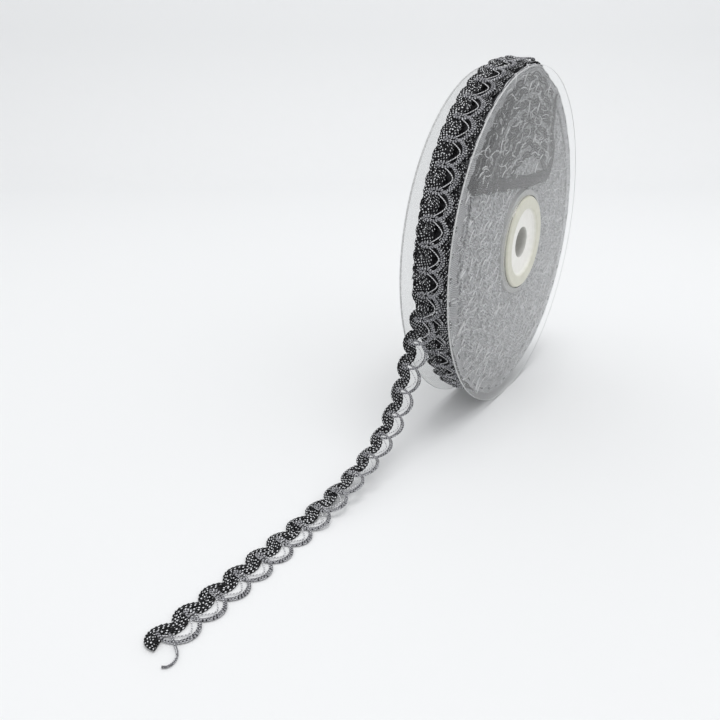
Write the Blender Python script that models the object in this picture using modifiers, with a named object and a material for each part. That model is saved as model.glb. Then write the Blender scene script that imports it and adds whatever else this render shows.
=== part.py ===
"""Scalloped gimp trim wound on a reel with two clear discs, its free end run out in front.

The reel's axis lies along X and it stands on the rims of its discs, on a small flat of each.
The free end leaves the front of the winding and runs out towards -Y. Lengths here are in
millimetres in the reel's own frame, with Y measured from the axis and Z from the surface;
to_metres() moves them so that the origin is under the middle of the whole object.
"""
import math

import bmesh
import bpy

MM = 0.001
GAP = 0.3                      # clearance between neighbouring pieces

# Reel
DISC_R = 65.0
DISC_T = 1.2
DISC_EDGE = 0.25               # small chamfer round each disc
REEL_WIDTH = 19.8              # over the discs' outer faces
FLAT_DEPTH = 0.25              # flat spot where each disc stands
AXIS_Z = DISC_R - FLAT_DEPTH

# Hub
HUB_R = 18.0                   # end that passes through the discs
CORE_R = 20.5                  # shoulder that holds the discs apart
HUB_PROUD = 0.7                # how far the end ring stands out of a disc
RECESS_R = 13.3
RECESS_DEPTH = 1.6
BORE_R = 5.75

# Trim
TRIM_T = 1.5
REPEATS_PER_TURN = 46
COLUMNS_PER_REPEAT = 6
SCALLOP_DEPTH = 2.0            # how far each edge runs in between two scallops
TURN_R = 64.0                  # outside of the outer turn where the free end leaves
TURN_DROP = 1.6                # the winding is a spiral: one turn further in, it is this much smaller
TOP_LIFT = 3.0                 # the outer turn stands loose over the top
LEAVE_ANGLE = math.radians(-10.0)   # where the free end leaves, from the front, upwards positive
TURN_LEFT = -5.4               # tips of the outer turn's two edges
TURN_RIGHT = 6.6

# Free end: a row for each station of its centre line, in order from the winding.
#              y       z      x   roll (degrees, right edge up)
END_ROUTE = [
    (-62.42,  52.80,  0.0,  0.0),
    (-61.55,  47.40, -1.6,  0.0),
    (-63.40,  38.60, -3.0,  0.0),
    (-66.80,  30.20, -3.4,  5.0),
    (-71.60,  22.60, -3.3, 10.0),
    (-78.00,  16.00, -3.3, 12.0),
    (-86.00,  11.00, -3.3, 13.0),
    (-95.00,   7.40, -3.6, 14.0),
    (-104.0,   4.90, -4.1, 13.0),
    (-113.0,   2.90, -4.8,  9.0),
    (-122.0,   1.30, -5.5,  3.0),
    (-131.0,   0.75, -6.0,  0.0),
    (-150.0,   0.75, -6.5,  0.0),
    (-168.0,   0.75, -7.2,  0.0),
    (-188.0,   0.75, -8.0,  0.0),
]
END_WIDTH = 11.2
END_REPEATS = 17
ROUTE_STEPS = 12               # fine steps between two stations, used to measure the route

DISC_STEPS = 96
HUB_STEPS = 64


def new_collection(name):
    collection = bpy.data.collections.new(name)
    bpy.context.scene.collection.children.link(collection)
    return collection


def finish(name, colour, roughness, transmission=0.0):
    material = bpy.data.materials.new(name)
    material.use_nodes = True
    shader = material.node_tree.nodes["Principled BSDF"]
    shader.inputs["Base Color"].default_value = (*colour, 1.0)
    shader.inputs["Roughness"].default_value = roughness
    shader.inputs["Metallic"].default_value = 0.0
    shader.inputs["Transmission Weight"].default_value = transmission
    return material


def scallop(phase):
    """0 in the notch between two scallops, 1 on a scallop's tip."""
    return abs(math.sin(math.pi * phase))


def turned_piece(name, profile, x_centre, steps, material, collection):
    """Turn a closed profile of (radius, height) rows round the reel's axis."""
    mesh = bpy.data.meshes.new(name)
    rows = [(radius * MM, 0.0, height * MM) for radius, height in profile]
    edges = [(i, (i + 1) % len(rows)) for i in range(len(rows))]
    mesh.from_pydata(rows, edges, [])
    piece = bpy.data.objects.new(name, mesh)
    collection.objects.link(piece)
    piece.location = to_metres(x_centre, 0.0, AXIS_Z)
    piece.rotation_euler = (0.0, math.pi / 2, 0.0)
    screw = piece.modifiers.new("turn", "SCREW")
    screw.axis = "Z"
    screw.steps = steps
    screw.render_steps = steps
    screw.use_merge_vertices = True
    screw.merge_threshold = 0.00001
    screw.use_smooth_shade = True
    mesh.materials.append(material)
    return piece


def lofted_piece(name, sections, closed, material, collection):
    """Skin a row of like-numbered sections, as a ring or as a capped length."""
    shell = bmesh.new()
    rings = [[shell.verts.new(to_metres(*point)) for point in section] for section in sections]
    count = len(rings)
    for i in range(count if closed else count - 1):
        here, there = rings[i], rings[(i + 1) % count]
        for j in range(len(here)):
            k = (j + 1) % len(here)
            shell.faces.new((here[j], here[k], there[k], there[j]))
    if not closed:
        shell.faces.new(rings[0])
        shell.faces.new(rings[-1])
    bmesh.ops.recalc_face_normals(shell, faces=shell.faces)
    mesh = bpy.data.meshes.new(name)
    shell.to_mesh(mesh)
    shell.free()
    mesh.shade_smooth()
    mesh.set_sharp_from_angle(angle=math.radians(40.0))
    mesh.materials.append(material)
    piece = bpy.data.objects.new(name, mesh)
    collection.objects.link(piece)
    return piece


# ---- the free end's route ----

def route_point(t):
    """Centre-line (x, y, z) and roll at station number t, on a smooth curve through the rows."""
    last = len(END_ROUTE) - 1
    i = min(int(t), last - 1)
    f = t - i
    before, start, end, after = (END_ROUTE[min(max(k, 0), last)] for k in (i - 1, i, i + 1, i + 2))
    values = []
    for a, b, c, d in zip(before, start, end, after):
        values.append(0.5 * (2 * b + (c - a) * f + (2 * a - 5 * b + 4 * c - d) * f * f
                             + (3 * b - a - 3 * c + d) * f ** 3))
    y, z, x, roll = values
    return (x, y, z), math.radians(roll)


def route_stations(count):
    """Station numbers that cut the route into equal lengths."""
    fine = [i / ROUTE_STEPS for i in range((len(END_ROUTE) - 1) * ROUTE_STEPS + 1)]
    lengths = [0.0]
    for a, b in zip(fine, fine[1:]):
        lengths.append(lengths[-1] + math.dist(route_point(a)[0], route_point(b)[0]))
    stations = []
    k = 0
    for i in range(count + 1):
        target = lengths[-1] * i / count
        while k < len(fine) - 2 and lengths[k + 1] < target:
            k += 1
        part = (target - lengths[k]) / (lengths[k + 1] - lengths[k])
        stations.append(fine[k] + (fine[k + 1] - fine[k]) * part)
    return stations


def route_frame(t):
    """Place, across direction and face direction of the strip at station number t."""
    step = 0.02
    last = len(END_ROUTE) - 1
    centre, roll = route_point(t)
    ahead, behind = route_point(min(t + step, last))[0], route_point(max(t - step, 0))[0]
    along_y, along_z = ahead[1] - behind[1], ahead[2] - behind[2]
    size = math.hypot(along_y, along_z)
    face_y, face_z = along_z / size, -along_y / size
    across = (math.cos(roll), face_y * math.sin(roll), face_z * math.sin(roll))
    face = (-math.sin(roll), face_y * math.cos(roll), face_z * math.cos(roll))
    return centre, across, face


# ---- the pieces ----

def make_disc(name, side, collection, cutter):
    half = DISC_T / 2
    profile = [
        (DISC_R - DISC_EDGE, half),
        (DISC_R, half - DISC_EDGE),
        (DISC_R, DISC_EDGE - half),
        (DISC_R - DISC_EDGE, -half),
        (HUB_R + GAP, -half),
        (HUB_R + GAP, half),
    ]
    clear = finish(name + "_clear", (0.93, 0.94, 0.94), 0.12, transmission=0.9)
    disc = turned_piece(name, profile, side * (REEL_WIDTH / 2 - half), DISC_STEPS, clear, collection)
    cut = disc.modifiers.new("standing_flat", "BOOLEAN")
    cut.operation = "DIFFERENCE"
    cut.object = cutter
    return disc


def make_hub(collection):
    end = REEL_WIDTH / 2 + HUB_PROUD
    shoulder = REEL_WIDTH / 2 - DISC_T - GAP
    upper = [
        (BORE_R, end - RECESS_DEPTH),
        (RECESS_R, end - RECESS_DEPTH),
        (RECESS_R, end),
        (HUB_R - 0.5, end),
        (HUB_R, end - 0.5),
        (HUB_R, shoulder),
        (CORE_R, shoulder),
    ]
    profile = upper + [(radius, -height) for radius, height in reversed(upper)]
    white = finish("hub_white", (0.80, 0.79, 0.72), 0.4)
    return turned_piece("hub", profile, 0.0, HUB_STEPS, white, collection)


def turn_radius(angle):
    """Outside of the outer turn, round from the place where the free end leaves."""
    travelled = (angle - LEAVE_ANGLE) / (2 * math.pi)
    lift = TOP_LIFT * max(0.0, math.sin(angle)) ** 2
    return TURN_R - TURN_DROP * travelled + lift


def winding_section(angle):
    """Section of the winding on a half plane through the axis, as (x, y, z) rows."""
    travelled = (angle - LEAVE_ANGLE) / (2 * math.pi)
    phase = travelled * REPEATS_PER_TURN
    left = TURN_LEFT + SCALLOP_DEPTH * (1 - scallop(phase))
    right = TURN_RIGHT - SCALLOP_DEPTH * (1 - scallop(phase + 0.5))
    outside = turn_radius(angle)
    under = outside - TRIM_T
    side = REEL_WIDTH / 2 - DISC_T - GAP
    rows = [
        (-side, CORE_R + GAP),
        (-side, DISC_R * 0.80),
        (left + 0.2, under),
        (left, outside - 0.6),
        (left + 0.6, outside),
        (right - 0.6, outside),
        (right, outside - 0.6),
        (right + 0.2, under),
        (side, under - TRIM_T),
        (side, CORE_R + GAP),
    ]
    return [(x, -radius * math.cos(angle), AXIS_Z + radius * math.sin(angle)) for x, radius in rows]


def make_winding(collection):
    columns = REPEATS_PER_TURN * COLUMNS_PER_REPEAT
    step_angle = math.radians(0.25)   # the step face where the outer turn ends is a thin wedge
    sweep = 2 * math.pi - step_angle
    sections = [winding_section(LEAVE_ANGLE + sweep * i / columns) for i in range(columns + 1)]
    thread = finish("trim_black_and_silver", (0.12, 0.12, 0.13), 0.6)
    return lofted_piece("wound_trim", sections, True, thread, collection)


def end_section(t, phase):
    """Section of the free end: two faces and its two scalloped edges."""
    centre, across, face = route_frame(t)
    left = -END_WIDTH / 2 + SCALLOP_DEPTH * (1 - scallop(phase))
    right = END_WIDTH / 2 - SCALLOP_DEPTH * (1 - scallop(phase + 0.5))
    rows = [(left, -TRIM_T / 2), (right, -TRIM_T / 2), (right, TRIM_T / 2), (left, TRIM_T / 2)]
    return [tuple(c + a * u + f * w for c, a, f in zip(centre, across, face)) for u, w in rows]


def make_loose_end(collection):
    columns = END_REPEATS * COLUMNS_PER_REPEAT
    stations = route_stations(columns)
    sections = [end_section(t, i / COLUMNS_PER_REPEAT) for i, t in enumerate(stations)]
    thread = finish("loose_end_black_and_silver", (0.16, 0.16, 0.17), 0.6)
    return lofted_piece("loose_end", sections, False, thread, collection)


def to_metres(x, y, z):
    """Millimetres in the reel's frame to metres in the object's frame."""
    return ((x - MIDDLE_X) * MM, (y - MIDDLE_Y) * MM, z * MM)


def strip_reach():
    """Lowest X and Y of the free end, for the middle of the whole object."""
    columns = END_REPEATS * COLUMNS_PER_REPEAT
    points = []
    for i, t in enumerate(route_stations(columns)):
        points += end_section(t, i / COLUMNS_PER_REPEAT)
    return min(p[0] for p in points), min(p[1] for p in points)


for old in list(bpy.data.objects):
    bpy.data.objects.remove(old, do_unlink=True)

LOW_X, LOW_Y = strip_reach()
MIDDLE_X = (LOW_X + REEL_WIDTH / 2 + HUB_PROUD) / 2
MIDDLE_Y = (LOW_Y + DISC_R) / 2

parts = new_collection("lace_trim_reel")
cutters = new_collection("cutters")

cutter_height = 6.0
bpy.ops.mesh.primitive_cube_add(size=1.0, location=to_metres(0.0, 0.0, -cutter_height / 2))
floor_cutter = bpy.context.object
floor_cutter.name = "standing_flat_cutter"
floor_cutter.scale = (40.0 * MM, 60.0 * MM, cutter_height * MM)
floor_cutter.hide_render = True
floor_cutter.display_type = "WIRE"
for holder in list(floor_cutter.users_collection):
    holder.objects.unlink(floor_cutter)
cutters.objects.link(floor_cutter)

make_hub(parts)
make_disc("disc_near", 1, parts, floor_cutter)
make_disc("disc_far", -1, parts, floor_cutter)
make_winding(parts)
make_loose_end(parts)
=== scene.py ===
import math
import random

import bpy
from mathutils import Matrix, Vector


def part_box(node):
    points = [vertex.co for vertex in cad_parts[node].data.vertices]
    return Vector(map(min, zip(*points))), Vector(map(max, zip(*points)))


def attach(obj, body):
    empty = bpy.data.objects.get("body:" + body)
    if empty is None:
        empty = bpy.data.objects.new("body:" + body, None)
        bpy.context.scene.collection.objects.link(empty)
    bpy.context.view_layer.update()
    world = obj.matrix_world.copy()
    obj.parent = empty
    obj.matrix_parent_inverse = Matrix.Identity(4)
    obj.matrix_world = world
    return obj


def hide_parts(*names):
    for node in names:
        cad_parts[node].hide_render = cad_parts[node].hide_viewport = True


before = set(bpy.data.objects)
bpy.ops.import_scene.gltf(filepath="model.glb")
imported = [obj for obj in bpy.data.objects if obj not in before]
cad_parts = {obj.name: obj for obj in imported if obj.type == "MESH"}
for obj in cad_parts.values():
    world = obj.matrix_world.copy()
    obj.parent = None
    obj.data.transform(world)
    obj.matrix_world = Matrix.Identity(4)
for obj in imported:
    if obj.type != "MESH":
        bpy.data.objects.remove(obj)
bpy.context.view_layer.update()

# A roll of scalloped gimp trim on a clear reel, with its loose end run out in front.
# Lengths are in millimetres in the reel's own frame: X along the reel's axis, Y from the
# axis towards the back, Z up from the surface. at() turns them into the object's metres.
MM = 0.001
HUB_LOW, HUB_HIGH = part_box("hub")
AXIS_X = (HUB_LOW[0] + HUB_HIGH[0]) / 2
AXIS_Y = (HUB_LOW[1] + HUB_HIGH[1]) / 2
AXIS_Z = (HUB_LOW[2] + HUB_HIGH[2]) / 2 / MM

# Reel
DISC_R = 65.0
DISC_T = 1.2
REEL_WIDTH = 19.8
DISC_INNER = REEL_WIDTH / 2 - DISC_T
RIM_T = 0.65                   # the discs thin towards their rims
THIN_FROM = 54.0
DISC_STEPS = 192
HUB_R = 18.0
CORE_R = 20.5
HUB_END = REEL_WIDTH / 2 + 0.7
RECESS_R = 13.3
BORE_R = 5.75
HUB_STEPS = 96

# Wound trim
REPEATS_PER_TURN = 46
TRIM_T = 1.5
TURN_R = 64.0
TURN_DROP = 1.6
TURN_SHIFT = 0.54              # pitches from where the end leaves to the first scallop
TOP_LIFT = 4.1                 # how far the outer turn stands off over the top
LIFT_PER_TURN = 0.09           # share that each turn below adds to that
SLACK = 3.6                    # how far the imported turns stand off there
SLACK_FALL = 3.4               # how quickly both fall away behind the top
BACK_SINK = 3.6                # how much tighter the winding lies at the back
SINK_TILT = math.radians(18.0)         # how far below the back it is tightest
SINK_RATE = 1.5
SINK_START = 0.075
LEAVE_ANGLE = math.radians(-10.0)
TURN_LEFT = -5.4
TURN_WIDTH = 12.0
SECOND_LEFT = TURN_LEFT - 1.0
EDGE_TURN = 0.94               # turns from the leaving place to the edge turn's start
EDGE_LEFT = 2.6
EDGE_WIDTH = 9.6
CORE_OUTSIDE = 60.3

# Lace, measured across from its black edge
PITCH = 8.7
LACE_WIDTH = 11.2
BAND_INSIDE = 6.6
BUMP_R = 4.6
BAND_THREADS = [number / 6 for number in range(7)]
THREAD_R = 0.44
THREAD_RIBS = 9
STRAND_R = 0.38
STRAND_RIBS = 26
SILVER_R = 0.17
SILVER_RIBS = 10
RIB_WAIST = 0.64
CORD_SIDES = 6
PATH_STEPS = 240

# Loose end: y, z, x and roll in degrees of each station, in order from the winding
END_ROUTE = [
    (-62.42, 52.80, 0.0, 0.0),
    (-61.55, 47.40, -1.6, 0.0),
    (-63.40, 38.60, -3.0, 0.0),
    (-66.80, 30.20, -3.4, 5.0),
    (-71.60, 22.60, -3.3, 10.0),
    (-78.00, 16.00, -3.3, 12.0),
    (-86.00, 11.00, -3.3, 13.0),
    (-95.00, 7.40, -3.6, 14.0),
    (-104.0, 4.90, -4.1, 13.0),
    (-113.0, 2.90, -4.8, 9.0),
    (-122.0, 1.30, -5.5, 3.0),
    (-131.0, 0.75, -6.0, 0.0),
    (-150.0, 0.75, -6.5, 0.0),
    (-168.0, 0.75, -7.2, 0.0),
    (-188.0, 0.75, -8.0, 0.0),
]
END_REPEATS = 17.40            # pitches in the route's length
END_SHIFT = 0.46               # pitches from the route's start to the first scallop
END_CORDS = 17                 # repeats made, the first of them still on the winding
END_DROP = -0.30               # how far the lace settles below the route's line
ROUTE_STEPS = 12
TIP_BEND = 4.6                 # how far across the cut end's curl is centred
TIP_TURN = 112.0               # degrees that the curl turns, less on every second thread
TIP_SHORTER = 12.0
TIP_RISE = 0.35
FRAYED_ROUTE = [               # x, y, z of the strand that has come away at the cut end
    (-7.6, -178.6, 1.5), (-5.6, -179.2, 1.2), (-3.7, -180.2, 0.8), (-2.1, -181.2, 0.5),
    (-1.1, -182.6, 0.42), (-0.8, -184.0, 0.42), (-1.3, -185.4, 0.42), (-2.2, -186.0, 0.42),
]

# A black stretch that has slipped down the near side: y and height from the axis
SLIPPED_ROUTE = [
    (-52.0, 30.5), (-49.1, 28.5), (-41.0, 27.4), (-33.2, 26.6), (-24.0, 25.8), (-14.4, 25.0),
    (1.3, 23.9), (18.6, 23.2), (25.4, 26.2), (26.4, 32.8), (23.4, 40.8), (23.2, 48.3),
    (24.0, 54.0),
]
SLIP_STEPS = 150
SLIP_SPREAD = 2.1              # half the width of the slipped stretch
SLIP_TAPER_FROM = 7            # the route's point past which it narrows
SLIP_END_Y = 26.0              # the pale arcs keep off the slipped stretch
SLIP_LOW_Z, SLIP_HIGH_Z = 20.5, 30.5

# The turns' edges on the sides: how far out from the middle each layer lies, and its rows
LOOPS_X = 7.35
RINGS_X = 7.8
BLACKS_X = 8.05
SLIPPED_X = 8.28
ARCS_X = 8.40
GLINTS_X = 8.46
FAR_SIDE_X = -8.1
LOOP_ROWS, LOOP_ROWS_R, LOOP_ROWS_GAP = 10, 57.2, 3.6
RINGS, RINGS_R, RINGS_GAP = 7, 57.4, 0.7
RING_STEPS = 300
BLACK_ROWS, BLACK_ROWS_R, BLACK_ROWS_GAP = 8, 57.6, 3.5
FAR_ROWS, FAR_ROWS_R, FAR_ROWS_GAP = 11, 56.0, 3.2
SIDE_CORD_R = 0.34
ARC_TRIES = 460
ARC_STEPS = 6
ARC_STRETCH = 2.5              # how many times longer than high the pale arcs are
ARC_LIMIT = 58.0               # how far out they reach at the back
GLINTS = 120


def at(x, y, z):
    """Millimetres in the reel's frame to metres in the object's frame."""
    return Vector((AXIS_X + x * MM, AXIS_Y + y * MM, z * MM))


def on_reel(angle, radius, x):
    """A place round the reel; the angle runs from the front up over the top."""
    return at(x, -radius * math.cos(angle), AXIS_Z + radius * math.sin(angle))


# ---- building helpers ----

def deselect_all():
    if bpy.context.object and bpy.context.object.mode != "OBJECT":
        bpy.ops.object.mode_set(mode="OBJECT")
    bpy.ops.object.select_all(action="DESELECT")


def pick(piece):
    deselect_all()
    piece.select_set(True)
    bpy.context.view_layer.objects.active = piece


def settle(piece, material):
    """Give a finished piece its material and its place on the object."""
    piece.data.materials.clear()
    piece.data.materials.append(material)
    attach(piece, "root")
    return piece


def guarded(profile, margin):
    """Add a support place beside each corner, so that flat faces shade flat."""
    rows = []
    count = len(profile)
    for i, (x, radius) in enumerate(profile):
        x1, r1 = profile[(i + 1) % count]
        size = math.hypot(x1 - x, r1 - radius)
        rows.append((x, radius))
        if size > 3 * margin:
            for part in (margin / size, 1 - margin / size):
                rows.append((x + (x1 - x) * part, radius + (r1 - radius) * part))
    return rows


def turned(name, profile, steps, bevel):
    """Turn a closed row of (x, radius) places round the reel's axis."""
    profile = guarded(profile, 2.5 * bevel) if bevel else profile
    deselect_all()
    x, radius = profile[0]
    centre = at(x, 0.0, AXIS_Z)
    bpy.ops.mesh.primitive_circle_add(
        vertices=steps, radius=radius * MM, location=centre, rotation=(0.0, math.pi / 2, 0.0))
    piece = bpy.context.object
    piece.name = name
    bpy.ops.object.transform_apply(location=True, rotation=True, scale=True)
    bpy.ops.object.mode_set(mode="EDIT")
    bpy.ops.mesh.select_all(action="SELECT")
    for (x0, r0), (x1, r1) in zip(profile, profile[1:]):
        bpy.ops.mesh.extrude_region_move(
            TRANSFORM_OT_translate={"value": ((x1 - x0) * MM, 0.0, 0.0)})
        bpy.ops.transform.resize(
            value=(1.0, r1 / r0, r1 / r0), center_override=at(x1, 0.0, AXIS_Z))
    bpy.ops.mesh.select_all(action="DESELECT")
    bpy.ops.mesh.select_mode(type="EDGE")
    bpy.ops.mesh.select_non_manifold()
    bpy.ops.mesh.bridge_edge_loops()
    bpy.ops.mesh.select_all(action="SELECT")
    bpy.ops.mesh.normals_make_consistent(inside=False)
    bpy.ops.object.mode_set(mode="OBJECT")
    if bevel:
        edge = piece.modifiers.new("edges", "BEVEL")
        edge.width = bevel * MM
        edge.segments = 3
        edge.limit_method = "ANGLE"
        edge.angle_limit = math.radians(30.0)
        bpy.ops.object.modifier_apply(modifier=edge.name)
    bpy.ops.object.shade_smooth_by_angle(angle=math.radians(35.0))
    return piece


def corded(name, cords, sides=CORD_SIDES):
    """Make one mesh of many cords, each a row of (place, radius) with a repeat count.

    The piece's UV map runs along a cord in repeats and once round it, and each cord
    has a whole number of its own in V.
    """
    curve = bpy.data.curves.new(name, "CURVE")
    curve.dimensions = "3D"
    curve.bevel_depth = 1.0
    curve.bevel_resolution = (sides - 4) // 2
    curve.use_fill_caps = True
    for rows, _ in cords:
        spline = curve.splines.new("POLY")
        spline.points.add(len(rows) - 1)
        for point, (place, radius) in zip(spline.points, rows):
            point.co = (*place, 1.0)
            point.radius = radius * MM
    piece = bpy.data.objects.new(name, curve)
    bpy.context.scene.collection.objects.link(piece)
    pick(piece)
    bpy.ops.object.convert(target="MESH")
    piece = bpy.context.object
    number_cords(piece.data, cords, sides)
    bpy.ops.object.mode_set(mode="EDIT")
    bpy.ops.mesh.select_all(action="SELECT")
    bpy.ops.mesh.remove_doubles(threshold=0.000001)
    bpy.ops.object.mode_set(mode="OBJECT")
    piece.data.shade_smooth()
    return piece


def number_cords(mesh, cords, sides):
    """Stretch the UV map to repeats along each cord and number the cords in V."""
    layer = mesh.uv_layers[0].data
    walls = [face for face in mesh.polygons if face.loop_total == 4]
    caps = 2 if sides == 4 else 0          # a cord's two ends follow its walls
    first = 0
    for number, (rows, repeats) in enumerate(cords):
        count = (len(rows) - 1) * sides
        for face in walls[first:first + count]:
            for loop in face.loop_indices:
                u, v = layer[loop].uv
                layer[loop].uv = (u * repeats, v + number)
        first += count + caps


# ---- the lace ----

def bump(u, middle):
    """How far a row of round bumps falls back from its tips, one tip at each middle."""
    away = (u - middle + 0.5) % 1.0 - 0.5
    return BUMP_R - math.sqrt(BUMP_R ** 2 - (PITCH * away) ** 2)


def band_thread(share):
    """Path of one thread of the black band, at a share of the way in from its edge."""
    def path(u):
        outside = THREAD_R + bump(u, 0.0)
        inside = BAND_INSIDE - THREAD_R - bump(u, 0.5)
        return u, outside + (inside - outside) * share
    return path


def loop_strand(low, high, roll):
    """Path of one strand of the silver loops, sharp where it turns at the band."""
    def path(u):
        turn = 2 * math.pi * u
        return u + roll * math.sin(turn), (low + high) / 2 - (high - low) / 2 * math.cos(turn)
    return path


def pointed_strand(low, high, roll):
    """Path of the bright strand: straight arms with a small round at each turn."""
    def path(u):
        turn = 2 * math.pi * u
        swing = (math.cos(turn) + 0.05 * math.cos(3 * turn)) / 1.05
        return u + roll * math.sin(turn), (low + high) / 2 - (high - low) / 2 * swing
    return path


def even_steps(path, count):
    """Places in one repeat that cut its path into equal lengths."""
    fine = [i / PATH_STEPS for i in range(PATH_STEPS + 1)]
    points = [path(u) for u in fine]
    lengths = [0.0]
    for (a, b), (c, d) in zip(points, points[1:]):
        lengths.append(lengths[-1] + math.hypot((c - a) * PITCH, d - b))
    steps = []
    k = 0
    for i in range(count):
        target = lengths[-1] * i / count
        while lengths[k + 1] < target:
            k += 1
        part = (target - lengths[k]) / (lengths[k + 1] - lengths[k])
        steps.append(fine[k] + (fine[k + 1] - fine[k]) * part)
    return steps


def cord(path, place, repeats, ribs, radius, lift, waist=RIB_WAIST, start=0):
    """One cord through a number of repeats, thick on each rib and thin between two.

    Neighbours that start on a rib (0) and on a gap (1) by turns lie close together.
    """
    steps = even_steps(path, ribs * 2)
    rows = []
    for n in range(repeats):
        for i, u in enumerate(steps):
            phase, across = path(u)
            size = radius if (i + start) % 2 == 0 else radius * waist
            rows.append((place(n + phase, across, lift(u, across)), size))
    phase, across = path(0.0)
    size = radius if start == 0 else radius * waist
    rows.append((place(repeats + phase, across, lift(0.0, across)), size))
    return rows, repeats


def band_lift(number):
    """The black threads lie side by side, rocking a little over and under."""
    def lift(u, across):
        return 0.10 * math.sin(2 * math.pi * u + number * 2.1)
    return lift


def loop_lift(base):
    """The loops lie over the black band and level with it beyond."""
    def lift(u, across):
        over = min(1.0, max(0.0, (6.4 - across) / 2.6))
        return base * over + 0.05
    return lift


def black_band(place, repeats):
    """The black threads side by side, their ribs set in one another's gaps."""
    cords = []
    for number, offset in enumerate(BAND_THREADS):
        cords.append(cord(
            band_thread(offset), place, repeats, THREAD_RIBS, THREAD_R, band_lift(number),
            start=number % 2))
    return cords


OUTER_LOOP = loop_strand(2.5, 10.80, -0.30)
SECOND_LOOP = loop_strand(3.2, 9.95, -0.28)
BRIGHT_LINE = pointed_strand(4.3, 8.95, -0.06)


def silver_loops(place, repeats):
    return [
        cord(OUTER_LOOP, place, repeats, STRAND_RIBS, STRAND_R, loop_lift(0.66)),
        cord(SECOND_LOOP, place, repeats, STRAND_RIBS, STRAND_R, loop_lift(0.56), start=1),
    ]


def bright_strand(place, repeats):
    return [cord(BRIGHT_LINE, place, repeats, SILVER_RIBS, SILVER_R, loop_lift(0.30), waist=1.0)]


# ---- where the lace lies ----

def ease(value):
    """Smooth step from 0 to 1."""
    value = min(1.0, max(0.0, value))
    return value * value * (3 - 2 * value)


def slack_share(angle):
    """1 where the winding is slack over the top, falling away quickly behind it."""
    return max(0.0, math.sin(angle)) ** 2 * (1 - ease(-SLACK_FALL * math.cos(angle)))


def sink(angle):
    """How much further in the turns lie at the back and below, where they are tight."""
    return BACK_SINK * ease(SINK_START - SINK_RATE * math.cos(angle - SINK_TILT))


def turn_radius(angle, travelled):
    """Outside of the winding's spiral."""
    lift = TOP_LIFT * (1 + LIFT_PER_TURN * travelled) * slack_share(angle)
    return TURN_R - TURN_DROP * travelled + lift - sink(angle)


def looseness(angle, radius):
    """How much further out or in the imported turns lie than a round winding's."""
    return (SLACK * slack_share(angle) - sink(angle)) * (radius / TURN_R) ** 2


def on_turn(first_turn, left, width):
    """Placing rule for lace that lies round the winding."""
    def place(phase, across, lift):
        travelled = first_turn + (phase + TURN_SHIFT) / REPEATS_PER_TURN
        angle = LEAVE_ANGLE + 2 * math.pi * travelled
        radius = turn_radius(angle, travelled) - TRIM_T / 2 + lift
        return on_reel(angle, radius, left + across * width / LACE_WIDTH)
    return place


def smooth_point(rows, t):
    """The values at row number t, on a smooth curve through a list of rows."""
    last = len(rows) - 1
    i = min(int(t), last - 1)
    f = t - i
    four = [rows[min(max(k, 0), last)] for k in (i - 1, i, i + 1, i + 2)]
    values = []
    for a, b, c, d in zip(*four):
        values.append(0.5 * (2 * b + (c - a) * f + (2 * a - 5 * b + 4 * c - d) * f * f
                             + (3 * b - a - 3 * c + d) * f ** 3))
    return values


def route_point(t):
    """Centre line and roll of the loose end at station number t."""
    y, z, x, roll = smooth_point(END_ROUTE, t)
    return (x, y, z), math.radians(roll)


def route_lengths():
    """Station numbers along the route and the length up to each."""
    fine = [i / ROUTE_STEPS for i in range((len(END_ROUTE) - 1) * ROUTE_STEPS + 1)]
    lengths = [0.0]
    for a, b in zip(fine, fine[1:]):
        lengths.append(lengths[-1] + math.dist(route_point(a)[0], route_point(b)[0]))
    return fine, lengths


ROUTE_FINE, ROUTE_LENGTHS = route_lengths()
END_LENGTH = ROUTE_LENGTHS[-1]


def station(part):
    """Station number at a part, 0 to 1, of the route's length."""
    target = min(max(part, 0.0), 1.0) * END_LENGTH
    low, high = 0, len(ROUTE_LENGTHS) - 1
    while high - low > 1:
        middle = (low + high) // 2
        if ROUTE_LENGTHS[middle] <= target:
            low = middle
        else:
            high = middle
    share = (target - ROUTE_LENGTHS[low]) / (ROUTE_LENGTHS[high] - ROUTE_LENGTHS[low])
    return ROUTE_FINE[low] + (ROUTE_FINE[high] - ROUTE_FINE[low]) * share


def on_end(phase, across, lift):
    """Placing rule for the lace of the loose end; its first repeat is still on the winding."""
    part = (phase - 1 + END_SHIFT) / END_REPEATS
    if part < 0:
        travelled = -part * END_LENGTH / (2 * math.pi * (TURN_R - TRIM_T / 2))
        angle = LEAVE_ANGLE + 2 * math.pi * travelled
        radius = turn_radius(angle, travelled) - TRIM_T / 2 + lift
        return on_reel(angle, radius, across - LACE_WIDTH / 2)
    t = station(part)
    step = 0.02
    last = len(END_ROUTE) - 1
    (x, y, z), roll = route_point(t)
    ahead = route_point(min(t + step, last))[0]
    behind = route_point(max(t - step, 0))[0]
    along_y, along_z = ahead[1] - behind[1], ahead[2] - behind[2]
    size = math.hypot(along_y, along_z)
    face_y, face_z = along_z / size, -along_y / size
    u = across - LACE_WIDTH / 2
    w = lift + END_DROP * min(1.0, part * 4)
    return at(
        x + u * math.cos(roll) - w * math.sin(roll),
        y + face_y * (u * math.sin(roll) + w * math.cos(roll)),
        z + face_z * (u * math.sin(roll) + w * math.cos(roll)))


# ---- materials ----

def new_group(name, inputs, outputs):
    """A shader node group with named inputs and outputs."""
    group = bpy.data.node_groups.new(name, "ShaderNodeTree")
    for label, value in inputs:
        socket = group.interface.new_socket(
            name=label, in_out="INPUT", socket_type="NodeSocketFloat")
        socket.default_value = value
    for label in outputs:
        group.interface.new_socket(name=label, in_out="OUTPUT", socket_type="NodeSocketFloat")
    start = group.nodes.new("NodeGroupInput")
    end = group.nodes.new("NodeGroupOutput")
    return group, start, end


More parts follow.
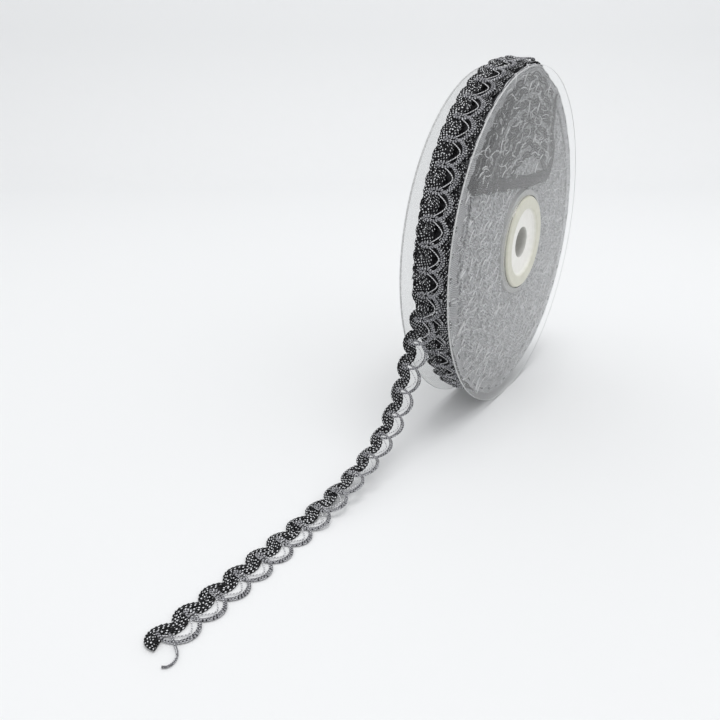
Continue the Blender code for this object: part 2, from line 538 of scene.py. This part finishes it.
def maths(tree, operation, first, second=None, third=None):
    """A Math node; each value is a number or another node's output."""
    node = tree.nodes.new("ShaderNodeMath")
    node.operation = operation
    for socket, value in zip(node.inputs, (first, second, third)):
        if value is None:
            continue
        if isinstance(value, (int, float)):
            socket.default_value = value
        else:
            tree.links.new(value, socket)
    return node.outputs[0]


def soften(tree, value, low, high):
    """0 below low and 1 above high, smooth between."""
    node = tree.nodes.new("ShaderNodeMapRange")
    node.interpolation_type = "SMOOTHSTEP"
    tree.links.new(value, node.inputs["Value"])
    node.inputs["From Min"].default_value = low
    node.inputs["From Max"].default_value = high
    return node.outputs["Result"]


def thread_twist_group():
    """Slanting plies of a twisted cord, and a bright fleck on some of them."""
    group, start, end = new_group(
        "thread twist",
        [("Plies per Repeat", 9.0), ("Slant", 1.0), ("Fleck Length", 0.3), ("Fleck Width", 0.2),
         ("Fleck Share", 0.8)],
        ["Ply", "Fleck", "Height"])
    uv = group.nodes.new("ShaderNodeUVMap")
    split = group.nodes.new("ShaderNodeSeparateXYZ")
    group.links.new(uv.outputs["UV"], split.inputs[0])
    own = maths(group, "FRACT", maths(
        group, "MULTIPLY", maths(group, "FLOOR", split.outputs[1]), 0.5))
    along = maths(
        group, "MULTIPLY_ADD", split.outputs[0], start.outputs["Plies per Repeat"], own)
    ply = maths(group, "MULTIPLY_ADD", split.outputs[1], start.outputs["Slant"], along)
    # Ply: 1 on a ply's crown, 0 in the groove between plies, where the thread's colour takes
    # painted shade
    height = maths(group, "COSINE", maths(group, "MULTIPLY", ply, 2 * math.pi))
    height = soften(group, maths(group, "MULTIPLY_ADD", height, 0.5, 0.5), 0.10, 0.65)
    # flecks: a small oval in most cells of a staggered grid, three cells round a cord
    across = maths(group, "MULTIPLY", split.outputs[1], 3.0)
    row = maths(group, "FLOOR", across)
    cell = maths(group, "MULTIPLY_ADD", row, 0.38, along)
    spot_u = maths(group, "SUBTRACT", maths(group, "FRACT", cell), 0.5)
    spot_v = maths(group, "SUBTRACT", maths(group, "FRACT", across), 0.5)
    spot_u = maths(group, "DIVIDE", spot_u, start.outputs["Fleck Length"])
    spot_v = maths(group, "DIVIDE", spot_v, start.outputs["Fleck Width"])
    reach = maths(group, "SQRT", maths(
        group, "ADD", maths(group, "POWER", spot_u, 2.0), maths(group, "POWER", spot_v, 2.0)))
    spot = maths(group, "SUBTRACT", 1.0, soften(group, reach, 0.70, 1.15))
    number = group.nodes.new("ShaderNodeCombineXYZ")
    group.links.new(maths(group, "FLOOR", cell), number.inputs[0])
    group.links.new(row, number.inputs[1])
    chance = group.nodes.new("ShaderNodeTexWhiteNoise")
    chance.noise_dimensions = "2D"
    group.links.new(number.outputs[0], chance.inputs["Vector"])
    kept = maths(group, "LESS_THAN", chance.outputs["Value"], start.outputs["Fleck Share"])
    fleck = maths(group, "MULTIPLY", spot, kept)
    group.links.new(height, end.inputs["Ply"])
    group.links.new(fleck, end.inputs["Fleck"])
    group.links.new(maths(group, "MAXIMUM", height, fleck), end.inputs["Height"])
    return group


THREAD_TWIST = thread_twist_group()


def new_material(name):
    material = bpy.data.materials.new(name)
    material.use_nodes = True
    tree = material.node_tree
    return material, tree, tree.nodes["Principled BSDF"]


def add_group(tree, group, **values):
    node = tree.nodes.new("ShaderNodeGroup")
    node.node_tree = group
    for label, value in values.items():
        node.inputs[label.replace("_", " ")].default_value = value
    return node


def colour_mix(tree, blend):
    """A Mix node for colours, with its two colour inputs and its colour output."""
    mix = tree.nodes.new("ShaderNodeMix")
    mix.data_type = "RGBA"
    mix.blend_type = blend
    sides = [socket for socket in mix.inputs if socket.type == "RGBA"]
    result = [socket for socket in mix.outputs if socket.type == "RGBA"][0]
    return mix, sides, result


def blend_colours(tree, factor, low, high):
    """A colour between two, as the factor says; each is a colour or an output."""
    mix, sides, result = colour_mix(tree, "MIX")
    tree.links.new(factor, mix.inputs["Factor"])
    for socket, value in zip(sides, (low, high)):
        if isinstance(value, tuple):
            socket.default_value = (*value, 1.0)
        else:
            tree.links.new(value, socket)
    return result


def add_bump(tree, shader, height, strength, distance):
    bump = tree.nodes.new("ShaderNodeBump")
    bump.inputs["Strength"].default_value = strength
    bump.inputs["Distance"].default_value = distance
    tree.links.new(height, bump.inputs["Height"])
    tree.links.new(bump.outputs["Normal"], shader.inputs["Normal"])


def thread_material(name, groove_shade, light, fleck, plies, slant, flecks, roughness):
    """Twisted thread: painted shade in the grooves between the plies, lighter on them, with
    bright flecks.
    """
    material, tree, shader = new_material(name)
    length, width, share = flecks
    twist = add_group(tree, THREAD_TWIST, Plies_per_Repeat=plies, Slant=slant,
                      Fleck_Length=length, Fleck_Width=width, Fleck_Share=share)
    # the first colour is painted shade in the grooves between the plies
    body = blend_colours(tree, twist.outputs["Ply"], groove_shade, light)
    colour = blend_colours(tree, twist.outputs["Fleck"], body, fleck)
    tree.links.new(colour, shader.inputs["Base Color"])
    shader.inputs["Roughness"].default_value = roughness
    shader.inputs["Specular IOR Level"].default_value = 0.18
    add_bump(tree, shader, twist.outputs["Height"], 0.6, 0.0002)
    return material


def clear_plastic(name):
    """Clear moulded plastic; lamps reach what is behind it."""
    material, tree, shader = new_material(name)
    shader.inputs["Base Color"].default_value = (0.985, 0.99, 0.99, 1.0)
    shader.inputs["Roughness"].default_value = 0.06
    shader.inputs["IOR"].default_value = 1.36
    shader.inputs["Transmission Weight"].default_value = 1.0
    rays = tree.nodes.new("ShaderNodeLightPath")
    open_way = tree.nodes.new("ShaderNodeBsdfTransparent")
    open_way.inputs["Color"].default_value = (0.95, 0.95, 0.95, 1.0)
    choose = tree.nodes.new("ShaderNodeMixShader")
    out = tree.nodes["Material Output"]
    tree.links.new(rays.outputs["Is Shadow Ray"], choose.inputs[0])
    tree.links.new(shader.outputs[0], choose.inputs[1])
    tree.links.new(open_way.outputs[0], choose.inputs[2])
    tree.links.new(choose.outputs[0], out.inputs["Surface"])
    return material


def frosted_plastic(name):
    """The discs' cut rims, fine scratched and whitish."""
    material, tree, shader = new_material(name)
    place = add_group(tree, REEL_ROUND, Centre_Y=AXIS_Y, Centre_Z=AXIS_Z * MM,
                      Across=3000.0, Along=60.0)
    lines = soften(tree, place.outputs["Lines"], 0.35, 0.65)
    tree.links.new(blend_colours(tree, lines, (0.46, 0.465, 0.465), (0.60, 0.605, 0.605)),
                   shader.inputs["Base Color"])
    shader.inputs["Roughness"].default_value = 0.35
    add_bump(tree, shader, place.outputs["Lines"], 0.2, 0.0001)
    return material


def reel_round_group():
    """Fine broken lines that run round the reel's axis, and the distance from it."""
    group, start, end = new_group(
        "round the reel",
        [("Centre Y", 0.0), ("Centre Z", 0.0), ("Across", 900.0), ("Along", 30.0)],
        ["Lines", "Radius"])
    where = group.nodes.new("ShaderNodeTexCoord")
    split = group.nodes.new("ShaderNodeSeparateXYZ")
    group.links.new(where.outputs["Object"], split.inputs[0])
    y = maths(group, "SUBTRACT", split.outputs[1], start.outputs["Centre Y"])
    z = maths(group, "SUBTRACT", split.outputs[2], start.outputs["Centre Z"])
    radius = maths(group, "SQRT", maths(
        group, "ADD", maths(group, "MULTIPLY", y, y), maths(group, "MULTIPLY", z, z)))
    angle = maths(group, "ARCTAN2", z, y)
    join = group.nodes.new("ShaderNodeCombineXYZ")
    group.links.new(
        maths(group, "MULTIPLY", radius, start.outputs["Across"]), join.inputs[0])
    group.links.new(maths(group, "MULTIPLY", angle, start.outputs["Along"]), join.inputs[1])
    group.links.new(maths(group, "MULTIPLY", split.outputs[0], 600.0), join.inputs[2])
    noise = group.nodes.new("ShaderNodeTexNoise")
    noise.inputs["Scale"].default_value = 1.0
    noise.inputs["Detail"].default_value = 3.0
    noise.inputs["Roughness"].default_value = 0.6
    group.links.new(join.outputs[0], noise.inputs["Vector"])
    group.links.new(noise.outputs["Fac"], end.inputs["Lines"])
    group.links.new(radius, end.inputs["Radius"])
    return group


REEL_ROUND = reel_round_group()


def hub_plastic(name):
    """Cream moulded plastic, paler inside its ring, with painted shade down the bore and on the
    shoulder between the discs.
    """
    material, tree, shader = new_material(name)
    place = add_group(tree, REEL_ROUND, Centre_Y=AXIS_Y, Centre_Z=AXIS_Z * MM,
                      Across=250.0, Along=6.0)
    radius = place.outputs["Radius"]
    ring = soften(tree, radius, (RECESS_R - 0.5) * MM, (RECESS_R + 0.3) * MM)
    # painted shade: the inside of the bore is darkened to grey
    inside = soften(tree, radius, (BORE_R + 0.05) * MM, (BORE_R + 0.5) * MM)
    # painted shade: the shoulder between the discs is greyed
    shoulder = soften(tree, radius, (HUB_R + 0.2) * MM, (HUB_R + 0.6) * MM)
    pale = blend_colours(tree, ring, (0.92, 0.91, 0.87), (0.69, 0.68, 0.58))
    tone_and_shade = blend_colours(tree, inside, (0.55, 0.545, 0.52), pale)
    tone_and_shade = blend_colours(tree, shoulder, tone_and_shade, (0.42, 0.42, 0.41))
    mottle = soften(tree, place.outputs["Lines"], 0.3, 0.7)
    darker = blend_colours(tree, mottle, (0.93, 0.93, 0.92), (1.0, 1.0, 1.0))
    mix, sides, result = colour_mix(tree, "MULTIPLY")
    mix.inputs["Factor"].default_value = 1.0
    tree.links.new(tone_and_shade, sides[0])
    tree.links.new(darker, sides[1])
    tree.links.new(result, shader.inputs["Base Color"])
    shader.inputs["Roughness"].default_value = 0.38
    add_bump(tree, shader, place.outputs["Lines"], 0.12, 0.0001)
    return material


def packed_trim(name, low, high):
    """The mass of turns below the outer ones, lined by their edges."""
    material, tree, shader = new_material(name)
    layers = add_group(tree, REEL_ROUND, Centre_Y=AXIS_Y, Centre_Z=AXIS_Z * MM,
                       Across=900.0, Along=30.0)
    shade = soften(tree, layers.outputs["Lines"], 0.38, 0.64)
    tree.links.new(blend_colours(tree, shade, low, high), shader.inputs["Base Color"])
    shader.inputs["Roughness"].default_value = 0.6
    shader.inputs["Specular IOR Level"].default_value = 0.2
    add_bump(tree, shader, layers.outputs["Lines"], 0.8, 0.0005)
    return material


BLACK_THREAD = thread_material(
    "black thread with silver flecks", (0.001, 0.001, 0.0015), (0.010, 0.010, 0.012),
    (0.88, 0.89, 0.91), THREAD_RIBS, 0.0, (0.21, 0.27, 0.80), 0.5)
SILVER_THREAD = thread_material(
    "grey and silver thread", (0.006, 0.006, 0.008), (0.32, 0.32, 0.34),
    (0.85, 0.86, 0.88), STRAND_RIBS, 0.0, (0.30, 0.26, 0.45), 0.45)
BRIGHT_THREAD = thread_material(
    "bright silver thread", (0.20, 0.20, 0.21), (0.80, 0.80, 0.82),
    (0.90, 0.90, 0.92), 16.0, 1.0, (0.3, 0.3, 0.6), 0.35)
SIDE_THREAD = thread_material(
    "edge-on silver thread", (0.27, 0.27, 0.28), (0.62, 0.62, 0.64),
    (0.85, 0.86, 0.88), 12.0, 1.0, (0.25, 0.3, 0.5), 0.45)
DARK_THREAD = thread_material(
    "black thread, few flecks", (0.001, 0.001, 0.0015), (0.005, 0.005, 0.006),
    (0.60, 0.61, 0.63), THREAD_RIBS, 0.0, (0.20, 0.22, 0.16), 0.6)
# painted highlight: the near-white colour stands for glints on the bright strand
PAINTED_GLINT_THREAD = thread_material(
    "strand with painted glints", (0.78, 0.78, 0.80), (0.95, 0.95, 0.96),
    (0.98, 0.98, 0.98), 8.0, 1.0, (0.3, 0.3, 0.6), 0.25)
PALE_THREAD = thread_material(
    "pale silver thread", (0.50, 0.50, 0.51), (0.88, 0.88, 0.90),
    (0.95, 0.95, 0.96), 8.0, 1.0, (0.3, 0.3, 0.6), 0.35)
CLEAR_PLASTIC = clear_plastic("clear plastic")
FROSTED_PLASTIC = frosted_plastic("frosted rim")
HUB_PLASTIC = hub_plastic("cream plastic")
PACKED_BLACK = packed_trim("packed black turns", (0.004, 0.004, 0.005), (0.05, 0.05, 0.055))
PACKED_SILVER = packed_trim("packed silver edges", (0.17, 0.17, 0.175), (0.56, 0.56, 0.58))


# ---- the pieces ----

def make_discs():
    for name, side in (("disc_near", 1), ("disc_far", -1)):
        inner, outer = side * DISC_INNER, side * REEL_WIDTH / 2
        rim = inner + side * RIM_T
        profile = [
            (inner, HUB_R + 0.3),
            (inner, DISC_R),
            (rim, DISC_R),
            (outer, THIN_FROM),
            (outer, HUB_R + 0.3),
        ]
        disc = turned("clear_" + name, profile, DISC_STEPS, 0.15)
        cut_standing_flat(disc)
        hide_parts(name)
        settle(disc, CLEAR_PLASTIC)
        frost_rim(disc)


def frost_rim(disc):
    """Give the rim and its bevels the whitish finish of a cut edge."""
    disc.data.materials.append(FROSTED_PLASTIC)
    for face in disc.data.polygons:
        radius = math.hypot(face.center.y - AXIS_Y, face.center.z - AXIS_Z * MM) / MM
        if radius > DISC_R - 0.16:
            face.material_index = 1


def cut_standing_flat(disc):
    """Slice off the sliver that would reach below the surface."""
    pick(disc)
    bpy.ops.object.mode_set(mode="EDIT")
    bpy.ops.mesh.select_all(action="SELECT")
    bpy.ops.mesh.bisect(
        plane_co=(0.0, 0.0, 0.0), plane_no=(0.0, 0.0, -1.0), use_fill=True, clear_outer=True)
    bpy.ops.object.mode_set(mode="OBJECT")


def make_hub():
    end, depth = HUB_END, 1.6
    shoulder = DISC_INNER - 0.3
    half = [
        (end - depth - 1.5, BORE_R),
        (end - depth, BORE_R + 0.3),
        (end - depth, RECESS_R - 0.9),
        (end - depth + 0.5, RECESS_R - 0.3),
        (end - 0.3, RECESS_R),
        (end, RECESS_R + 0.5),
        (end, HUB_R - 0.5),
        (end - 0.5, HUB_R),
        (shoulder, HUB_R),
        (shoulder, CORE_R),
    ]
    profile = half + [(-x, radius) for x, radius in reversed(half)]
    hub = turned("reel_hub", profile, HUB_STEPS, 0.1)
    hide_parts("hub")
    settle(hub, HUB_PLASTIC)


def make_core():
    profile = [
        (-8.0, CORE_R + 0.3),
        (-8.0, 51.0),
        (-4.9, CORE_OUTSIDE),
        (5.6, CORE_OUTSIDE),
        (7.2, 58.6),
        (7.2, CORE_R + 0.3),
    ]
    core = turned("packed_turns", profile, DISC_STEPS, 0.0)
    for corner in core.data.vertices:
        y, z = (corner.co.y - AXIS_Y) / MM, corner.co.z / MM - AXIS_Z
        angle, radius = math.atan2(z, -y), math.hypot(y, z)
        x = (corner.co.x - AXIS_X) / MM
        corner.co = on_reel(angle, radius + looseness(angle, radius), x)
    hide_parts("wound_trim")
    settle(core, PACKED_BLACK)
    core.data.materials.append(PACKED_SILVER)
    for face in core.data.polygons:
        face.material_index = 1 if face.normal.x > 0.6 else 0


def make_turns():
    """The outer turn, and what shows of the turns beneath it."""
    repeats = REPEATS_PER_TURN
    outer = on_turn(0.0, TURN_LEFT, TURN_WIDTH)
    settle(corded("outer_turn_black", black_band(outer, repeats)), BLACK_THREAD)
    settle(corded("outer_turn_loops", silver_loops(outer, repeats)),
           SILVER_THREAD)
    settle(corded("outer_turn_bright", bright_strand(outer, repeats)),
           BRIGHT_THREAD)
    second = on_turn(1.0 + 0.5 / repeats, SECOND_LEFT, LACE_WIDTH)
    settle(corded("second_turn_black", black_band(second, repeats)),
           BLACK_THREAD)
    edge = on_turn(EDGE_TURN, EDGE_LEFT, EDGE_WIDTH)
    settle(corded("edge_turn_black", black_band(edge, repeats)), BLACK_THREAD)


def curled_band():
    """The loose end's black band, whose cut end turns down and inwards past the last repeat."""
    cords = []
    for number, (rows, repeats) in enumerate(black_band(on_end, END_CORDS)):
        reach = TIP_BEND - band_thread(BAND_THREADS[number])(0.0)[1]
        turn = math.radians(TIP_TURN - TIP_SHORTER * (number % 2))
        ribs = max(3, round(reach * turn))
        for i in range(1, 2 * ribs + 1):
            angle = turn * i / (2 * ribs)
            phase = END_CORDS + reach * math.sin(angle) / PITCH
            across = TIP_BEND - reach * math.cos(angle)
            size = THREAD_R if (i + number) % 2 == 0 else THREAD_R * RIB_WAIST
            rows.append((on_end(phase, across, TIP_RISE * math.sin(angle)), size))
        cords.append((rows, repeats + ribs / THREAD_RIBS))
    return cords


def frayed_strand():
    """A silver strand that has come away at the cut end and lies on the surface."""
    rows = []
    last = len(FRAYED_ROUTE) - 1
    steps = 6 * last
    for i in range(2 * steps + 1):
        x, y, z = smooth_point(FRAYED_ROUTE, last * i / (2 * steps))
        size = STRAND_R if i % 2 == 0 else STRAND_R * RIB_WAIST
        rows.append((at(x, y, z), size))
    return [(rows, steps / STRAND_RIBS)]


def make_loose_end():
    band = corded("loose_end_black", curled_band())
    loops = corded("loose_end_loops", silver_loops(on_end, END_CORDS) + frayed_strand())
    bright = corded("loose_end_bright", bright_strand(on_end, END_CORDS))
    settle(band, BLACK_THREAD)
    settle(loops, SILVER_THREAD)
    settle(bright, BRIGHT_THREAD)
    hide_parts("loose_end")


def side_row(radius, x, tips, seed, amplitude):
    """Placing rule for lace that lies on a side of the winding, in a swaying ring."""
    source = random.Random(seed)
    waves = [(source.choice((3, 5, 7, 11, 17)), source.uniform(0, 6.28)) for _ in range(4)]
    repeats = round(2 * math.pi * radius / PITCH)
    start = source.uniform(0, 2 * math.pi)

    def place(phase, across, lift):
        angle = start + 2 * math.pi * phase / repeats
        sway = sum(math.sin(n * angle + p) for n, p in waves) / 4
        squeeze = amplitude * (1.0 + 0.35 * math.sin(waves[0][0] * angle + waves[1][1]))
        reach = radius + tips * (across - LACE_WIDTH / 2) * squeeze + 1.5 * sway
        reach += looseness(angle, reach)
        return on_reel(angle + 0.02 * sway, reach, x + lift * 0.6 + 0.15 * sway)
    return place, repeats


def make_near_side():
    """Silver loops of the turns, folded flat against the near disc."""
    loops = []
    for row in range(LOOP_ROWS):
        radius = LOOP_ROWS_R - LOOP_ROWS_GAP * row
        place, repeats = side_row(radius, LOOPS_X, -1, 40 + row, 0.70)
        for path, lift in ((OUTER_LOOP, 0.5), (SECOND_LOOP, 0.35)):
            loops.append(cord(
                path, place, repeats, 8, SIDE_CORD_R, loop_lift(lift), waist=0.9))
    for ring in range(RINGS):
        loops.append(side_ring(RINGS_R + RINGS_GAP * ring, RINGS_X))
    settle(corded("near_side_loops", loops, 4), SIDE_THREAD)


def side_ring(radius, x):
    """A strand that runs once round at the very edge of the winding."""
    rows = []
    for i in range(RING_STEPS + 1):
        angle = 2 * math.pi * i / RING_STEPS
        reach = radius + 0.18 * math.sin(23 * angle + radius) + 0.12 * math.sin(61 * angle)
        reach += looseness(angle, reach)
        rows.append((on_reel(angle, reach, x), SIDE_CORD_R if i % 2 else 0.30))
    return rows, REPEATS_PER_TURN


def flat_arc(y, z, size, start, span, x, radius):
    """An open arc that lies against the near disc, longer than it is high."""
    rows = []
    for i in range(ARC_STEPS + 1):
        angle = start + span * i / ARC_STEPS
        along, up = ARC_STRETCH * size * math.cos(angle), size * math.sin(angle)
        thin = 0.5 if i in (0, ARC_STEPS) else 1.0
        rows.append((at(x, y + along, z + up), radius * thin))
    return rows, 1


def make_side_arcs():
    """Loops that have slipped aside and show as wide pale arcs."""
    source = random.Random(19)
    cords = []
    for _ in range(ARC_TRIES):
        angle = source.uniform(0, 2 * math.pi)
        radius = math.sqrt(source.uniform(23.0 ** 2, 60.5 ** 2))
        radius += looseness(angle, radius)
        y, z = -radius * math.cos(angle), radius * math.sin(angle)
        size = source.uniform(1.0, 2.3)
        reach = math.hypot(y + ARC_STRETCH * size, z)
        on_slipped = y < SLIP_END_Y and SLIP_LOW_Z < z < SLIP_HIGH_Z
        past_back = y > 0 and reach > ARC_LIMIT
        if on_slipped or past_back:
            continue
        cords.append(flat_arc(
            y, AXIS_Z + z, size, source.uniform(0, 2 * math.pi), source.uniform(0.9, 2.6),
            ARCS_X, source.uniform(0.11, 0.22)))
    settle(corded("near_side_arcs", cords, 4), PALE_THREAD)


def make_glints():
    """Short stretches of the bright strand against the near disc, coloured near-white as painted
    glints.
    """
    source = random.Random(7)
    cords = []
    while len(cords) < GLINTS:
        angle = source.gauss(0.0, 1.1)
        radius = math.sqrt(source.uniform(25.0 ** 2, 61.0 ** 2))
        radius += looseness(angle, radius)
        slope = math.radians(source.gauss(24.0, 34.0))
        half = source.uniform(1.1, 3.0)
        y = -radius * math.cos(angle)
        z = AXIS_Z + radius * math.sin(angle)
        rows = []
        for part in (-1.0, -0.5, 0.0, 0.5, 1.0):
            away = half * part
            bow = 0.22 * half * (1 - part * part)
            size = 0.08 if abs(part) == 1.0 else 0.23
            rows.append((at(GLINTS_X, y + away * math.cos(slope) - bow * math.sin(slope),
                            z + away * math.sin(slope) + bow * math.cos(slope)), size))
        cords.append((rows, 1))
    settle(corded("near_side_glints", cords, 4), PAINTED_GLINT_THREAD)


def make_side_blacks():
    """Black edges that show among the loops above the slipped stretch."""
    source = random.Random(31)
    cords = []
    for row in range(BLACK_ROWS):
        radius = BLACK_ROWS_R - BLACK_ROWS_GAP * row
        low = math.asin(28.0 / radius)
        high = math.pi / 2 + math.asin(20.0 / radius)
        steps = round((high - low) * radius)
        sway = source.uniform(0, 2 * math.pi)
        for share in (0.0, 0.5, 1.0):
            path = band_thread(share)
            rows = []
            for i in range(steps + 1):
                angle = low + (high - low) * i / steps
                across = path(angle * radius / PITCH)[1]
                reach = radius + 0.42 * (across - 3.3) + 0.7 * math.sin(5 * angle + sway)
                size = SIDE_CORD_R if i % 2 else 0.24
                reach += looseness(angle, reach)
                rows.append((on_reel(angle, reach, BLACKS_X), size))
            cords.append((rows, steps / 2 / THREAD_RIBS))
    settle(corded("near_side_black", cords, 4), DARK_THREAD)


def make_slipped_stretch():
    """Black threads side by side along the slipped stretch, narrowing at its end."""
    last = len(SLIPPED_ROUTE) - 1
    cords = []
    for share in (-1.0, -0.67, -0.33, 0.0, 0.33, 0.67, 1.0):
        rows = []
        for i in range(SLIP_STEPS + 1):
            t = last * i / SLIP_STEPS
            y, z = smooth_point(SLIPPED_ROUTE, t)
            y2, z2 = smooth_point(SLIPPED_ROUTE, min(t + 0.05, last))
            y1, z1 = smooth_point(SLIPPED_ROUTE, max(t - 0.05, 0.0))
            size = math.hypot(y2 - y1, z2 - z1)
            spread = SLIP_SPREAD - 0.5 * max(0.0, t - SLIP_TAPER_FROM)
            off = share * max(0.5, spread) + 0.35 * math.sin(t * 4.0)
            across, up = -off * (z2 - z1) / size, off * (y2 - y1) / size
            width = 0.42 if i % 2 else SIDE_CORD_R
            rows.append((at(SLIPPED_X, y + across, AXIS_Z + z + up), width))
        cords.append((rows, SLIP_STEPS / 2 / THREAD_RIBS))
    settle(corded("slipped_stretch", cords), DARK_THREAD)


def make_far_side():
    """Black edges of the turns against the far disc."""
    cords = []
    for row in range(FAR_ROWS):
        radius = FAR_ROWS_R - FAR_ROWS_GAP * row
        place, repeats = side_row(radius, FAR_SIDE_X, 1, 80 + row, 0.62)
        for number, share in enumerate((0.0, 0.35, 0.7, 1.0)):
            cords.append(cord(
                band_thread(share), place, repeats, 5, THREAD_R, band_lift(number), waist=0.85))
    settle(corded("far_side_black", cords, 4), BLACK_THREAD)


# ---- the setting ----

CAMERA_PLACE = (101.1, -258.4, 131.95)
CAMERA_DOWN = 24.0
CAMERA_TURN = 33.17
CAMERA_LENS = 33.96
WALL_AWAY = 940.0
WALL_BEND = 160.0
WALL_HEIGHT = 1400.0
FLOOR_BEHIND = 1200.0          # how far the floor reaches behind the camera
FLOOR_HALF = 2000.0


def make_camera():
    camera = bpy.data.cameras.new("camera")
    camera.lens = CAMERA_LENS
    camera.sensor_width = 36.0
    holder = bpy.data.objects.new("camera", camera)
    bpy.context.scene.collection.objects.link(holder)
    holder.location = at(*CAMERA_PLACE)
    holder.rotation_euler = (math.radians(90.0 - CAMERA_DOWN), 0.0, math.radians(CAMERA_TURN))
    bpy.context.scene.camera = holder


def make_backdrop():
    """A pale floor that curves up into a wall square to the camera's heading."""
    material, tree, shader = new_material("pale paper")
    shader.inputs["Base Color"].default_value = (0.86, 0.865, 0.87, 1.0)
    shader.inputs["Roughness"].default_value = 0.9
    shader.inputs["Specular IOR Level"].default_value = 0.2
    bend_start = WALL_AWAY - WALL_BEND
    rows = [(-FLOOR_BEHIND, 0.0), (bend_start, 0.0)]
    for i in range(1, 13):
        angle = math.pi / 2 * i / 12
        rows.append((bend_start + WALL_BEND * math.sin(angle), WALL_BEND * (1 - math.cos(angle))))
    rows.append((WALL_AWAY, WALL_HEIGHT))
    heading = math.radians(CAMERA_TURN)
    away = Vector((-math.sin(heading), math.cos(heading), 0.0))
    aside = Vector((math.cos(heading), math.sin(heading), 0.0))
    foot = at(CAMERA_PLACE[0], CAMERA_PLACE[1], 0.0)
    points = []
    for distance, height in rows:
        for side in (-FLOOR_HALF, FLOOR_HALF):
            points.append(foot + away * distance * MM + aside * side * MM
                          + Vector((0.0, 0.0, height * MM)))
    faces = [(2 * i, 2 * i + 1, 2 * i + 3, 2 * i + 2) for i in range(len(rows) - 1)]
    mesh = bpy.data.meshes.new("backdrop")
    mesh.from_pydata(points, [], faces)
    mesh.materials.append(material)
    mesh.shade_smooth()
    backdrop = bpy.data.objects.new("backdrop", mesh)
    bpy.context.scene.collection.objects.link(backdrop)


LAMP_AIM = (0.0, -40.0, 40.0)


def add_lamp(name, place, size, power):
    """A square soft lamp that faces the reel."""
    lamp = bpy.data.lights.new(name, "AREA")
    lamp.shape = "SQUARE"
    lamp.size = size
    lamp.energy = power
    holder = bpy.data.objects.new(name, lamp)
    bpy.context.scene.collection.objects.link(holder)
    holder.location = place
    aim = at(*LAMP_AIM) - Vector(place)
    holder.rotation_euler = aim.to_track_quat("-Z", "Y").to_euler()


def make_light():
    world = bpy.data.worlds.new("soft room")
    world.use_nodes = True
    world.node_tree.nodes["Background"].inputs["Color"].default_value = (0.98, 0.99, 1.0, 1.0)
    world.node_tree.nodes["Background"].inputs["Strength"].default_value = 0.795
    bpy.context.scene.world = world
    add_lamp("overhead", (0.12, 0.02, 1.20), 0.6, 4.8)
    bpy.context.scene.view_settings.view_transform = "Standard"


make_camera()
make_backdrop()
make_light()
make_hub()
make_discs()
make_core()
make_turns()
make_loose_end()
make_near_side()
make_side_blacks()
make_slipped_stretch()
make_side_arcs()
make_glints()
make_far_side()
